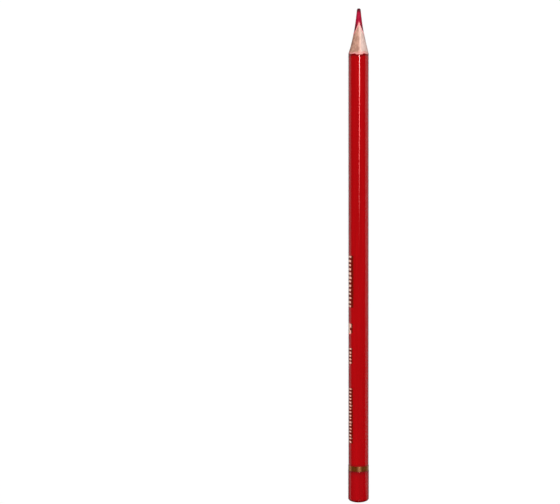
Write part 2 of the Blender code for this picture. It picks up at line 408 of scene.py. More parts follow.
def outline_at(flat, across, flat_r):
    """A place on the outline at a distance round from the middle of a flat, as (x, z)."""
    normal_x, normal_z = direction(flat)
    out = flat_r - CORE_HEX
    turn = max(0.0, abs(across) - HALF_FLAT) / out
    along = math.copysign(min(abs(across), HALF_FLAT), across)
    lean_x, lean_z = direction(flat + math.copysign(turn, across))
    x = CORE_HEX * normal_x + along * normal_z + out * lean_x
    z = CORE_HEX * normal_z - along * normal_x + out * lean_z
    return x, z


def crest_at(column):
    """1 on a ridge, falling off to nothing on the flats."""
    past = (column[2] - SEAM_ANGLE) % (2 * HALF_CORNER)
    aside = min(past, 2 * HALF_CORNER - past) * (PAINT_FLAT - CORE_HEX)
    return math.exp(-((aside / CREST_REACH) ** 2))


def point_r(from_tip):
    """Radius of the ground point at a distance from the tip."""
    return POINT_TIP_R + POINT_TIP_SLOPE * from_tip + FLARE * from_tip**POINT_FLARE_POWER


def from_tip_at(radius):
    """Distance from the tip where the ground point has this radius."""
    return solve(0.0, 2 * POINT_LENGTH, lambda from_tip: point_r(from_tip) < radius)


def core_surface_r(from_tip):
    """Radius of the core: whole, or ground a step lower than the wood."""
    return min(CORE_R, point_r(from_tip) - WOOD_STEP)


GROOVE_END = from_tip_at(BOND_R + LAYER_GAP + GLUE_COVER)


def groove_r(from_tip):
    """Radius of the hollow that holds the core."""
    if from_tip >= GROOVE_END:
        return BOND_R + LAYER_GAP
    return core_surface_r(from_tip) + LAYER_GAP


def tongue_from_tip(away):
    """Distance from the tip where the wood ends, at a distance to the right of the seam plane."""
    across = abs(away + TONGUE_SHIFT)
    return TONGUE_APEX_FROM_TIP + TONGUE_STEEP * across - TONGUE_BOW * across * across


def wood_top(sine):
    """Distance from the tip where a column of wood ends, so that its radius and the tongue's edge agree.

    The sine is that of its angle from the seam plane, negative on the left.
    """
    return solve(0.0, POINT_LENGTH, lambda from_tip: from_tip < tongue_from_tip(point_r(from_tip) * sine))


# Meshes and objects


class Grid:
    """Rows of points for a mesh of quads. Each point carries masks, which the material reads."""

    def __init__(self, *masks):
        self.rows = []
        self.masks = {key: [] for key in masks}

    def begin(self):
        """Starts a new row."""
        self.rows.append([])
        for values in self.masks.values():
            values.append([])

    def add(self, point, **masks):
        """Adds a point to the last row. A mask that isn't given is 0 there."""
        self.rows[-1].append(point)
        for key, values in self.masks.items():
            values[-1].append(masks.get(key, 0.0))

    def turned(self):
        """The same points with rows for columns."""
        made = Grid()
        made.rows = list(zip(*self.rows))
        made.masks = {key: list(zip(*values)) for key, values in self.masks.items()}
        return made

    def faces(self, index, wrap_rows, wrap_points):
        """The quads between neighbouring rows, or triangles where a row is a pole."""
        made = []
        count = len(self.rows[0])
        for i in range(len(index) if wrap_rows else len(index) - 1):
            here, there = index[i], index[(i + 1) % len(index)]
            for k in range(count if wrap_points else count - 1):
                after = (k + 1) % count
                corners = [here[k], here[after], there[after], there[k]]
                face = [v for n, v in enumerate(corners) if v not in corners[:n]]
                if len(face) > 2:
                    made.append(face)
        return made

    def mesh(self, name, wrap_rows=False, wrap_points=False, cap_rows=False):
        """Makes the mesh. A row whose points all agree becomes one pole.

        cap_rows closes the first and last row of a wrapped section, whose second half mirrors its first.
        """
        points, index = [], []
        values = {key: [] for key in self.masks}
        for i, row in enumerate(self.rows):
            pole = all((point - row[0]).length < POLE_MERGE for point in row)
            start = len(points)
            kept = 1 if pole else len(row)
            points.extend(row[:kept])
            index.append([start] * len(row) if pole else list(range(start, start + kept)))
            for key in values:
                values[key].extend(self.masks[key][i][:kept])
        faces = self.faces(index, wrap_rows, wrap_points)
        if cap_rows:
            count = len(self.rows[0])
            for row, flip in ((index[0], True), (index[-1], False)):
                for k in range(count // 2 - 1):
                    face = [row[k], row[k + 1], row[count - 2 - k], row[count - 1 - k]]
                    faces.append(face[::-1] if flip else face)
        mesh = bpy.data.meshes.new(name)
        mesh.from_pydata([tuple(point) for point in points], [], faces)
        for key, numbers in values.items():
            mesh.attributes.new(key, "FLOAT", "POINT").data.foreach_set("value", numbers)
        face_out(mesh)
        mesh.shade_smooth()
        mesh.set_sharp_from_angle(angle=SHARP_ANGLE)
        return mesh


def face_out(mesh):
    """Turns every face round if the closed mesh encloses less than nothing."""
    volume = 0.0
    for polygon in mesh.polygons:
        corner = [mesh.vertices[v].co for v in polygon.vertices]
        for k in range(1, len(corner) - 1):
            volume += corner[0].dot(corner[k].cross(corner[k + 1]))
    if volume < 0:
        mesh.flip_normals()


def new_object(name, data):
    """An object of the scene that shows this mesh, lamp or camera."""
    obj = bpy.data.objects.new(name, data)
    bpy.context.scene.collection.objects.link(obj)
    return obj


def placed(x_axis, y_axis, z_axis, place):
    """The matrix that turns to these axes and moves to a place."""
    matrix = Matrix((x_axis, y_axis, z_axis)).transposed().to_4x4()
    matrix.translation = place
    return matrix


def dress(mesh, material, slot, *nodes):
    """Makes a mesh one of the pieces: gives it its material, lets it ride, and hides the frame parts it
    stands for.
    """
    obj = new_object(mesh.name, mesh)
    mesh.materials.append(material)
    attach(obj, BODY)
    if nodes:
        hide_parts(*nodes)


# Node trees


class Nodes:
    """A node tree with short ways to add to it."""

    def __init__(self, tree):
        self.tree = tree

    def add(self, kind, **settings):
        made = self.tree.nodes.new(kind)
        for key, value in settings.items():
            setattr(made, key, value)
        return made

    def put(self, socket, value):
        """Sets a socket, or links an output to it."""
        if isinstance(value, bpy.types.NodeSocket):
            self.tree.links.new(value, socket)
        else:
            socket.default_value = value

    def axes(self, vector):
        """The X, Y and Z outputs of a vector."""
        made = self.add("ShaderNodeSeparateXYZ")
        self.put(made.inputs[0], vector)
        return made.outputs

    def maths(self, operation, first, second):
        made = self.add("ShaderNodeMath", operation=operation)
        self.put(made.inputs[0], first)
        self.put(made.inputs[1], second)
        return made.outputs["Value"]

    def spread(self, value, low, high, to_low=0.0, to_high=1.0, kind="SMOOTHSTEP"):
        """Maps a range to another one."""
        made = self.add("ShaderNodeMapRange", interpolation_type=kind)
        self.put(made.inputs["Value"], value)
        made.inputs["From Min"].default_value = low
        made.inputs["From Max"].default_value = high
        made.inputs["To Min"].default_value = to_low
        made.inputs["To Max"].default_value = to_high
        return made.outputs["Result"]

    def choose(self, share, first, second):
        """The first number, or the second as the share goes to 1."""
        made = self.add("ShaderNodeMix")
        for socket, value in zip((made.inputs[0], made.inputs[2], made.inputs[3]), (share, first, second)):
            self.put(socket, value)
        return made.outputs[0]

    def mix(self, share, first, second):
        """The first colour, or the second as the share goes to 1."""
        made = self.add("ShaderNodeMix", data_type="RGBA")
        self.put(made.inputs["Factor"], share)
        colours = [socket for socket in made.inputs if socket.type == "RGBA"]
        for socket, value in zip(colours, (first, second)):
            self.put(socket, value if isinstance(value, bpy.types.NodeSocket) else (*value, 1.0))
        return [socket for socket in made.outputs if socket.type == "RGBA"][0]


class Surface(Nodes):
    """The nodes of one piece's material, round its main shader."""

    def __init__(self, name):
        self.material = bpy.data.materials.new(name)
        self.material.use_nodes = True
        super().__init__(self.material.node_tree)
        self.shader = self.tree.nodes["Principled BSDF"]
        self.position = self.add("ShaderNodeTexCoord").outputs["Object"]

    def set(self, **values):
        """Puts values on the shader's sockets, named with underscores for spaces."""
        for key, value in values.items():
            self.put(self.shader.inputs[key.replace("_", " ")], value)

    def mask(self, name):
        return self.add("ShaderNodeAttribute", attribute_name=name).outputs["Fac"]

    def noise(self, scale, detail=3.0, roughness=0.5, offset=(0, 0, 0)):
        """Noise with its own number of cells a metre along X, Y and Z."""
        mapping = self.add("ShaderNodeMapping")
        self.put(mapping.inputs["Vector"], self.position)
        mapping.inputs["Scale"].default_value = scale
        mapping.inputs["Location"].default_value = offset
        made = self.add("ShaderNodeTexNoise")
        self.put(made.inputs["Vector"], mapping.outputs["Vector"])
        made.inputs["Scale"].default_value = 1.0
        made.inputs["Detail"].default_value = detail
        made.inputs["Roughness"].default_value = roughness
        return made.outputs["Fac"]

    def bump(self, height, strength, distance, after=None):
        """A bumped normal, on top of another one if it is given."""
        made = self.add("ShaderNodeBump")
        self.put(made.inputs["Height"], height)
        made.inputs["Strength"].default_value = strength
        made.inputs["Distance"].default_value = distance
        if after is not None:
            self.put(made.inputs["Normal"], after)
        return made.outputs["Normal"]


def scaled(colour, factor):
    """A colour made darker or paler, and nowhere brighter than 1."""
    return tuple(min(1.0, value * factor) for value in colour)


# Materials


def lacquer_material(name, deep, bright):
    """Glossy red paint: faint streaks along the grain, fine orange peel, painted shade on the ridges, and
    darker edges.
    """
    n = Surface(name)
    streaks = n.noise((900, 25, 900), 4.0)
    cloud = n.noise((160, 40, 160), 2.0, offset=(3, 1, 2))
    peel = n.noise((1300, 700, 1300), 2.0, offset=(1, 5, 7))
    ripple = n.noise((500, 16, 500), 2.0, offset=(4, 2, 9))
    colour = n.mix(n.spread(streaks, 0.35, 0.65), deep, bright)
    colour = n.mix(n.spread(cloud, 0.4, 0.7, 0.0, 0.35), colour, deep)
    # Painted shade: the ridges are darkened a little toward black
    colour = n.mix(n.maths("MULTIPLY", n.mask("crest"), CREST_SHADE), colour, BLACK)
    # Darker red where the edge mask is: below a cut edge, beside the band and at the dipped end's lip; on the
    # domed end it is painted shade
    colour = n.mix(n.mask("edge"), colour, EDGE_DARK_RED)
    normal = n.bump(peel, 0.06, 0.00002)
    normal = n.bump(ripple, 0.07, 0.00004, normal)
    n.set(Base_Color=colour, Normal=normal, Coat_Normal=normal)
    n.set(Roughness=0.32, Specular_IOR_Level=0.0, Coat_Weight=1.0, Coat_Roughness=0.04, Coat_IOR=1.5)
    return n.material


def wood_material(name, outer, inner, smear):
    """Bare cut wood: fibres and pores along the grain, painted light and shade across the slat, glue soaked
    in at the seam, and dust at both ends.
    """
    n = Surface(name)
    grain = n.noise((1500, 45, 1500), 4.0, 0.6)
    broad = n.noise((420, 30, 420), 2.0, offset=(5, 2, 1))
    fibre = n.noise((7000, 220, 7000), 3.0, 0.6, offset=(2, 8, 3))
    pores = n.noise((5200, 500, 5200), 1.0, offset=(9, 4, 6))
    blotch = n.noise((700, 500, 700), 3.0, offset=(7, 3, 5))
    mottle = n.noise((1300, 600, 1300), 2.0, offset=(2, 7, 8))
    rings = n.noise((40, 5200, 40), 3.0, 0.7, offset=(6, 1, 4))
    # Painted light and shade from the seam outward, wandering a little at random
    wandering = n.maths("ADD", n.mask("ring"), n.spread(broad, 0.3, 0.7, -0.25, 0.25))
    colour = n.mix(n.spread(wandering, 0.1, 0.9), inner, outer)
    colour = n.mix(n.spread(grain, 0.48, 0.66, 0.0, 0.30), colour, scaled(inner, 0.62))
    colour = n.mix(n.spread(grain, 0.30, 0.46, 0.30, 0.0), colour, scaled(outer, 1.2))
    colour = n.mix(n.spread(fibre, 0.3, 0.7, 0.0, 0.22), colour, scaled(outer, 1.1))
    colour = n.mix(n.spread(pores, 0.68, 0.76, 0.0, 0.5), colour, scaled(inner, 0.45))
    colour = n.mix(n.spread(mottle, 0.47, 0.60, 0.0, 0.5), colour, scaled(inner, 0.76))
    colour = n.mix(n.spread(mottle, 0.37, 0.47, 0.42, 0.0), colour, scaled(outer, 1.3))
    soaked = n.maths("MULTIPLY", n.mask("soak"), n.spread(blotch, 0.3, 0.6, 0.2, 0.8))
    colour = n.mix(soaked, colour, GLUE_SOAK)
    near_paint = n.maths("MULTIPLY", n.mask("paint"), n.spread(blotch, 0.3, 0.62))
    colour = n.mix(near_paint, colour, PAINT_DUST)
    near_core = n.maths("MULTIPLY", n.mask("core"), n.spread(blotch, 0.35, 0.7, 0.6, 1.0))
    colour = n.mix(near_core, colour, smear)
    normal = n.bump(fibre, 0.35, 0.00003)
    normal = n.bump(rings, 0.25, 0.00003, normal)
    n.set(Base_Color=colour, Roughness=n.spread(fibre, 0.3, 0.7, 0.62, 0.8), Normal=normal)
    n.set(Specular_IOR_Level=0.3)
    return n.material


def core_material():
    """Waxy crimson colour core: grinding rings, paler rubbed streaks, and darker brown at its sides where the
    wood ends.
    """
    n = Surface("coloured_core")
    streaks = n.noise((1500, 260, 1500), 4.0, 0.6)
    rings = n.noise((90, 6500, 90), 3.0, 0.65, offset=(1, 3, 2))
    speck = n.noise((9000, 9000, 9000), 2.0, offset=(4, 4, 1))
    colour = n.mix(n.spread(streaks, 0.35, 0.68), *CORE_SHADES)
    colour = n.mix(n.spread(rings, 0.5, 0.75, 0.0, 0.35), colour, CORE_RUBBED)
    colour = n.mix(n.spread(speck, 0.62, 0.75, 0.0, 0.4), colour, CORE_SPECK)
    # Darker brown at the core's sides where the wood ends
    by_wood = n.maths("MULTIPLY", n.mask("wood"), n.spread(streaks, 0.3, 0.6, 0.7, 1.0))
    colour = n.mix(by_wood, colour, CORE_BY_WOOD_DARK)
    colour = n.mix(n.mask("apex"), colour, CORE_APEX)
    colour = n.mix(n.mask("worn"), colour, CORE_WORN)
    normal = n.bump(rings, 0.3, 0.00003)
    normal = n.bump(speck, 0.2, 0.00001, normal)
    n.set(Base_Color=colour, Roughness=n.spread(rings, 0.3, 0.7, 0.42, 0.58), Normal=normal)
    n.set(Specular_IOR_Level=0.08)
    return n.material


def primer_material():
    """Chalky pale pink undercoat."""
    n = Surface("pale_undercoat")
    chalk = n.noise((2600, 1400, 2600), 3.0)
    colour = n.mix(n.spread(chalk, 0.3, 0.7), *PRIMER_SHADES)
    rough = n.spread(chalk, 0.3, 0.7, 0.6, 0.75)
    n.set(Base_Color=colour, Roughness=rough, Normal=n.bump(chalk, 0.2, 0.00001))
    return n.material


def glue_material(name, pale, deep):
    """Dried wood glue."""
    n = Surface(name)
    clot = n.noise((1800, 300, 1800), 3.0)
    colour = n.mix(n.spread(clot, 0.35, 0.65), pale, deep)
    rough = n.spread(clot, 0.3, 0.7, 0.4, 0.6)
    n.set(Base_Color=colour, Roughness=rough, Normal=n.bump(clot, 0.2, 0.00001))
    return n.material


def foil_material(name, deep, bright, rubbed, crest, metallic, specular):
    """Hot-stamped foil: brushed and lightly pitted, duller where rubbed thin, and a painted glint, paler
    along the ridges.
    """
    n = Surface(name)
    brush = n.noise((2400, 900, 2400), 4.0, 0.6)
    patch = n.noise((500, 260, 500), 2.0, offset=(8, 2, 6))
    colour = n.mix(n.spread(brush, 0.3, 0.7), deep, bright)
    thinned = n.maths("MULTIPLY", n.mask("thin"), FOIL_THIN_SHADE)
    colour = n.mix(n.maths("MAXIMUM", n.spread(patch, 0.5, 0.8, 0.0, 0.45), thinned), colour, rubbed)
    # Painted glint: paler foil along the ridges
    colour = n.mix(n.mask("crest"), colour, crest)
    rough = n.spread(patch, 0.3, 0.7, 0.20, 0.30)
    n.set(Base_Color=colour, Roughness=rough, Normal=n.bump(brush, 0.35, 0.00002))
    n.set(Metallic=metallic, Specular_IOR_Level=specular)
    return n.material


# Paint and undercoat


def barrel_stations(top):
    """Distances from the blunt end for a skin's rows, closer toward the point and beside the foil band."""
    shares = [1 - (1 - k / BARREL_ROWS) ** BARREL_CROWDING for k in range(BARREL_ROWS + 1)]
    stations = [WOOD_START + (top - WOOD_START) * share for share in shares]
    stations += [BAND_END + BAND_SIDE_ROW * k for k in range(1, BAND_SIDE_ROWS + 1)]
    return sorted(stations)


def fill_skin(grid, flat_r, thickness, rag, rag_scale):
    """Fills a grid with a closed six-sided skin, cut raggedly by the ground point at its upper end."""
    for column in COLUMNS:
        outer_x, outer_z = column_at(column, flat_r)
        inner_x, inner_z = column_at(column, flat_r - thickness)
        outer_r = math.hypot(outer_x, outer_z)
        inner_r = math.hypot(inner_x, inner_z)
        fallen = rag * dip(column[0] * rag_scale, 0.3, column[1] * rag_scale, 2)
        outer_top = LENGTH - from_tip_at(outer_r) - fallen
        inner_top = min(LENGTH - from_tip_at(inner_r), outer_top + (outer_r - inner_r) * SKIN_CUT_RUN)
        normal_x, normal_z = direction(column[2])
        crest = crest_at(column)
        grid.begin()
        for s in barrel_stations(outer_top):
            calm = smooth(0, SKIN_CALM, outer_top - s) * smooth(0, SKIN_CALM, s - WOOD_START)
            swell = SKIN_SWELL * calm * (wobble(outer_x * 300, s * 45, outer_z * 300) - 1)
            # Darker just below the cut edge and just beside the band
            edge_dark = EDGE_DARK_SHADE * (1 - smooth(*EDGE_DARK_FADE, outer_top - s))
            beside_band = BESIDE_BAND_DARK_SHADE * (1 - smooth(*BESIDE_BAND_DARK_FADE, s - BAND_END))
            point = world_point(outer_x + swell * normal_x, outer_z + swell * normal_z, s)
            grid.add(point, edge=max(edge_dark, beside_band), crest=crest)
        for share in (0.0, 0.5, 1.0):
            s = inner_top + (WOOD_START - inner_top) * share
            grid.add(world_point(inner_x, inner_z, s), crest=crest)


def make_paint():
    grid = Grid("edge", "crest")
    fill_skin(grid, PAINT_FLAT, PAINT_T, PAINT_RAG, 2600)
    mesh = grid.mesh("red_lacquer", wrap_rows=True, wrap_points=True)
    dress(mesh, lacquer_material("red_lacquer", *LACQUER_SHADES), "lacquer", "lacquer_coat")


def make_primer():
    grid = Grid()
    fill_skin(grid, PRIMER_FLAT, PRIMER_T, PRIMER_RAG, 4100)
    mesh = grid.mesh("pale_undercoat", wrap_rows=True, wrap_points=True)
    dress(mesh, primer_material(), "primer", "undercoat")


# Wood and glue


def slat_columns(side):
    """A slat's columns from the front seam round to the back one, as (angle from the seam, radius)."""
    half = len(COLUMNS) // 2
    order = range(0, half + 1) if side > 0 else range(0, -half - 1, -1)
    found = []
    for i in order:
        x, z = column_at(COLUMNS[i % len(COLUMNS)], WOOD_FLAT)
        polar = math.atan2(x, z) - SEAM_ANGLE
        polar = abs((polar + math.pi) % (2 * math.pi) - math.pi)
        found.append((polar, math.hypot(x, z)))
    found[0] = (0.0, found[0][1])
    found[-1] = (math.pi, found[-1][1])
    return found


def slat_point(polar, radius, s, side):
    """A point of a slat, squeezed a little so that its flat face stays clear of the glue."""
    along_x, along_z = direction(SEAM_ANGLE)
    away_x, away_z = direction(SEAM_ANGLE + side * math.pi / 2)
    face = SEAM_T / 2 + LAYER_GAP
    along = radius * math.cos(polar)
    away = face + radius * math.sin(polar) * (radius - face) / radius
    return world_point(along * along_x + away * away_x, along * along_z + away * away_z, s)


def fill_slat(grid, polar, outer_r, side):
    """Adds one column of a slat: up the outside, over the ground cone, and back down the groove."""
    sine = math.sin(polar)
    rag = WOOD_RAG * wobble(polar * 3, side * 2.0, 0.5) * smooth(*WOOD_RAG_SINES, sine)
    top = wood_top(side * sine) + rag
    crossing = from_tip_at(outer_r)
    grid.begin()
    for k in range(SLAT_ROWS):
        s = WOOD_START + (LENGTH - crossing - WOOD_START) * k / SLAT_ROWS
        # Painted light and shade across the slat, by the distance from the seam
        ring = smooth(*OUTWARD_SHADING_FADE, outer_r * sine)
        grid.add(slat_point(polar, outer_r, s, side), paint=1.0, ring=ring)
    for k in range(POINT_ROWS + 1):
        from_tip = crossing + (top - crossing) * k / POINT_ROWS
        ground = smooth(*GRIND_PAINT_FADE, crossing - from_tip) * smooth(*GRIND_CORE_FADE, from_tip - top)
        groove = GRIND_DEPTH * dip(polar * 1.2, from_tip * 3600, side * 3.0, 2)
        fibre = FIBRE_DEPTH * dip(polar * 16, from_tip * 150, side * 5.0, 3)
        radius = point_r(from_tip) - ground * (groove + fibre)
        away = radius * sine
        seam_dust = 1 - smooth(*SEAM_DUST_FADE, crossing - from_tip)
        seam_dust *= 1 - smooth(*SEAM_DUST_REACH, away)
        grid.add(
            slat_point(polar, min(radius, outer_r), LENGTH - from_tip, side),
            paint=max(seam_dust, 1 - smooth(*DUST_FADE, crossing - from_tip)),
            core=1 - smooth(*SMEAR_FADE, from_tip - top),
            ring=smooth(*OUTWARD_SHADING_FADE, away),
            soak=1 - smooth(*SOAK_FADE, away),
        )
    for point in grid.rows[-1][::-1]:
        s = point.y - BLUNT_Y
        grid.add(slat_point(polar, groove_r(LENGTH - s), s, side))


def make_slat(side, name, node, slot, material):
    grid = Grid("paint", "core", "ring", "soak")
    for polar, outer_r in slat_columns(side):
        fill_slat(grid, polar, outer_r, side)
    dress(grid.mesh(name, wrap_points=True, cap_rows=True), material, slot, node)


def make_slats():
    pale = wood_material("pale_slat_wood", *PALE_WOOD, PALE_WOOD_SMEAR)
    brown = wood_material("brown_slat_wood", *BROWN_WOOD, BROWN_WOOD_SMEAR)
    make_slat(1, "slat_right_wood", "slat_right", "wood_right", pale)
    make_slat(-1, "slat_left_wood", "slat_left", "wood_left", brown)


def make_seam(sign, name, node, material):
    """The film of glue between the slats: in front of the core if the sign is 1, behind it if it is -1."""
    along_x, along_z = direction(SEAM_ANGLE)
    away_x, away_z = direction(SEAM_ANGLE + math.pi / 2)
    outer_r = slat_columns(1)[0 if sign > 0 else -1][1]
    top = wood_top(0.0) + SEAM_STEP
    crossing = from_tip_at(outer_r)
    stations = [(outer_r, WOOD_START), (outer_r, LENGTH - crossing)]
    for k in range(1, POINT_ROWS + 1):
        from_tip = crossing + (top - crossing) * k / POINT_ROWS
        proud = SEAM_SUNK * (wobble(from_tip * 2400, 1.5, sign) - 1)
        stations.append((point_r(from_tip) + proud, LENGTH - from_tip))
    grid = Grid()
    for across, bulge in ((-SEAM_T / 2, 0.0), (0.0, SEAM_BULGE), (SEAM_T / 2, 0.0)):
        outer = [(radius + bulge, s) for radius, s in stations]
        inner = [(groove_r(LENGTH - s), s) for _, s in stations[::-1]]
        grid.begin()
        for reach, s in outer + inner:
            along = sign * reach
            x = along * along_x + across * away_x
            z = along * along_z + across * away_z
            grid.add(world_point(x, z, s))
    dress(grid.mesh(name, wrap_points=True, cap_rows=True), material, "glue", node)


def make_seams():
    material = glue_material("seam_glue", *SEAM_GLUE)
    make_seam(1, "glue_film_front", "glue_seam_front", material)
    make_seam(-1, "glue_film_back", "glue_seam_back", material)


def dress_hidden():
    """The glue round the core stays the frame's own mesh."""
    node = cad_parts["core_bond"]
    material = glue_material("bond_glue", *BOND_GLUE)
    node.data.materials.clear()
    node.data.materials.append(material)


# Core


def core_stations():
    """Distances from the tip for the core's rings: closest on the rounded tip, and close where it is bare."""
    stations = [TIP_ROUND_LENGTH * (k / TIP_ROWS) ** 2 for k in range(1, TIP_ROWS + 1)]
    bare = CORE_BARE - TIP_ROUND_LENGTH
    stations += [TIP_ROUND_LENGTH + bare * k / CORE_ROWS for k in range(1, CORE_ROWS + 1)]
    return stations + [CORE_BARE + CORE_HIDDEN_ROW, LENGTH - WOOD_START]


def core_r(from_tip):
    """The core's radius before its grinding marks, with a rounded tip."""
    if from_tip >= TIP_ROUND_LENGTH:
        return core_surface_r(from_tip)
    share = from_tip / TIP_ROUND_LENGTH
    swell = math.sqrt(1 - (1 - share) ** 2)
    return TIP_FLAT_R + (core_surface_r(TIP_ROUND_LENGTH) - TIP_FLAT_R) * swell


def add_core_point(grid, angle, from_tip):
    """Adds one point of the core's ground side, with its grinding rings and rubbed flats."""
    x, z = direction(angle)
    show = 1 - smooth(*CORE_MARKS_FADE, from_tip)
    ringed = RING_DEPTH * dip(from_tip * 4200, angle * 0.3, 0.7, 2)
    rubbed = RUB_DEPTH * dip(math.cos(angle) * 2.2, math.sin(angle) * 2.2, from_tip * 260)
    radius = core_r(from_tip) - show * (ringed + rubbed)
    away = math.sin(angle - SEAM_ANGLE) * radius
    across = abs(away + TONGUE_SHIFT)
    to_wood = tongue_from_tip(away) - from_tip
    uneven = WORN_RAG * wobble(x, z, 2.2)
    grid.add(
        world_point(radius * x, radius * z, LENGTH - from_tip),
        wood=smooth(*BY_WOOD_DARK_REACH, across) * (1 - smooth(*BY_WOOD_DARK_FADE, to_wood)),
        apex=(1 - smooth(*APEX_REACH, across)) * (1 - smooth(*APEX_FADE, to_wood)),
        worn=1 - smooth(*WORN_FADE, from_tip + uneven),
    )


def make_core():
    """The ground core, with a blunt and slightly dented tip."""
    grid = Grid("wood", "worn", "apex")
    angles = [2 * math.pi * j / TURN_STEPS for j in range(TURN_STEPS)]
    for share in TIP_FACE_SHARES:
        reach = TIP_FLAT_R * share
        grid.begin()
        for angle in angles:
            x, z = direction(angle)
            dent = DENT_DEPTH * dip(x * 2, z * 2, share * 3) * share
            grid.add(world_point(reach * x, reach * z, LENGTH - dent), worn=1.0)
    for from_tip in core_stations():
        grid.begin()
        for angle in angles:
            add_core_point(grid, angle, from_tip)
    grid.begin()
    for _ in angles:
        grid.add(world_point(0, 0, WOOD_START))
    dress(grid.mesh("coloured_core", wrap_points=True), core_material(), "core", "lead_core")


# Foil


def make_band():
    """The foil band: its edges wander a little, and the foil is thin and reddish along them. Its ridges carry
    a painted glint.
    """
    grid = Grid("thin", "crest")
    lip = BAND_T / 2
    for column in COLUMNS:
        x, z, _ = column
        low = BAND_START + BAND_RAG * (1 + wobble(x * 1500, 1.0, z * 1500))
        high = BAND_END - BAND_RAG * (1 - wobble(x * 1500, 4.0, z * 1500))
        step = (high - low - 2 * lip) / BAND_ROWS
        section = [(BAND_FLAT - lip, low)]
        section += [(BAND_FLAT, low + lip + step * k) for k in range(BAND_ROWS + 1)]
        section += [(BAND_FLAT - lip, high), (BAND_FLAT - BAND_T, high), (BAND_FLAT - BAND_T, low)]
        # Painted glint on the ridges, narrower than on the paint
        crest = crest_at(column) ** 2
        grid.begin()
        for flat_r, s in section:
            thin = 1 - smooth(*FOIL_THIN_FADE, min(s - low, high - s))
            grid.add(world_point(*column_at(column, flat_r), s), thin=thin, crest=crest)
    material = foil_material("band_foil", *BAND_FOIL, metallic=0.4, specular=0.2)
    dress(grid.mesh("foil_band", wrap_rows=True, wrap_points=True), material, "foil", "gold_band")


def tick_plan():
    """The bright ticks of a plain scale, uneven as stamped foil is, as (start, length, low, high across)."""
    ticks = [BLOCK]
    for first, count, pitch, width, low, high in TICK_RUNS:
        for k in range(count):
            start = first - k * pitch - TICK_STRAY * pitch * dip(k * 1.7, first * 900, 0.2)
            length = width * (1 + TICK_WIDTH_SPREAD * wobble(k * 2.3, first * 800, 1.4))
            if k % LONG_TICK_EVERY == 0:
                longer = LONG_TICK_EXTRA
            else:
                longer = TICK_REACH_SPREAD * wobble(k * 1.3, first * 700, 3.1)
            ticks.append((start, length, low, high + longer))
    return ticks


def make_marks(name, plan, lift, material):
    """Thin stamped foil on one flat, all the pieces of one plan in one mesh. They hold no figures."""
    merged = bmesh.new()
    for number, (start, length, low, high) in enumerate(plan):
        grid = Grid()
        for k in range(MARK_STEPS + 1):
            across = low + (high - low) * k / MARK_STEPS
            worn = MARK_RAG * wobble(across * 3000, number * 3.1, 0.5)
            top = outline_at(MARK_FLAT, across, PAINT_FLAT + lift)
            bottom = outline_at(MARK_FLAT, across, PAINT_FLAT - lift)
            edges = [start - length + worn, start - length / 2, start + worn]
            grid.begin()
            for s in edges:
                grid.add(world_point(*top, s))
            for s in edges[::-1]:
                grid.add(world_point(*bottom, s))
        bar = grid.mesh("bar", wrap_points=True, cap_rows=True)
        merged.from_mesh(bar)
        bpy.data.meshes.remove(bar)
    mesh = bpy.data.meshes.new(name)
    merged.to_mesh(mesh)
    merged.free()
    dress(mesh, material, "foil")


def make_scale():
    # The strips' dark foil is a painted reflection of dark surroundings
    painted_dark = foil_material("painted_dark_foil", *PAINTED_DARK_FOIL, metallic=0.1, specular=0.2)
    bright = foil_material("mark_foil", *MARK_FOIL, metallic=0.95, specular=0.5)
    make_marks("foil_strips", STRIPS, MARK_T / 2, painted_dark)
    make_marks("foil_ticks", tick_plan(), MARK_T, bright)


# Dipped end


def dome_height(reach):
    """How far the domed end lies in from the very end, at a distance from the axis."""
    return CAP_DOME_HEIGHT * (1 - math.sqrt(max(0.0, 1 - (reach / CAP_DOME_R) ** 2)))


def end_shade_at(s):
    """How much painted shade darkens the dipped paint at the very end, where the dome turns away from the
    light.
    """
    return END_PAINTED_SHADE * (1 - smooth(*END_SHADE_FADE, s))


def fill_cap(grid, column):
    """Adds one column of the dipped end: its inside, soft lip, side, rounded edge and dome."""
    x, z = column_at(column, CAP_FLAT)
    reach = math.hypot(x, z)
    normal_x, normal_z = direction(column[2])
    crest = crest_at(column)
    lip = CAP_T / 2
    grid.begin()
    grid.add(world_point(0, 0, CAP_FLOOR_T), crest=crest)
    for depth, s in (
        (CAP_T, CAP_FLOOR_T),
        (CAP_T, CAP_LENGTH),
        (lip, CAP_LENGTH),
        (lip * LIP_SHOULDER_DEPTH, CAP_LENGTH - lip * LIP_SHOULDER_RUN),
    ):
        grid.add(world_point(*column_at(column, CAP_FLAT - depth), s), edge=1.0, crest=crest)
    rim_s = dome_height(reach)
    high = CAP_LENGTH - lip * LIP_RUN
    for k in range(CAP_ROWS + 1):
        s = high + (rim_s + CAP_EDGE_HEIGHT - high) * k / CAP_ROWS
        sag = CAP_SAG * smooth(0, CAP_CALM, CAP_LENGTH - s) * (1 - wobble(x * 300, s * 220, z * 300))
        rim = CAP_RIM_SHADE * math.exp((s - CAP_LENGTH) / CAP_RIM_FADE)
        point = world_point(x - sag * normal_x, z - sag * normal_z, s)
        grid.add(point, edge=max(end_shade_at(s), rim), crest=crest)
    for k in range(1, CAP_EDGE_ROWS):
        turn = math.pi / 2 * k / CAP_EDGE_ROWS
        share = 1 - CAP_EDGE_DEPTH / reach * (1 - math.cos(turn))
        s = rim_s + CAP_EDGE_HEIGHT * (1 - math.sin(turn))
        grid.add(world_point(x * share, z * share, s), edge=end_shade_at(s), crest=crest)
    for k in range(1, DOME_ROWS + 1):
        share = (1 - k / DOME_ROWS) * (1 - CAP_EDGE_DEPTH / reach)
        s = dome_height(reach * share)
        grid.add(world_point(x * share, z * share, s), edge=end_shade_at(s), crest=crest)


def make_cap():
    grid = Grid("edge", "crest")
    for column in COLUMNS:
        fill_cap(grid, column)
    mesh = grid.turned().mesh("dipped_end", wrap_points=True)
    dress(mesh, lacquer_material("dip_paint", *DIP_SHADES), "dip", "end_dip_cap")


# Studio


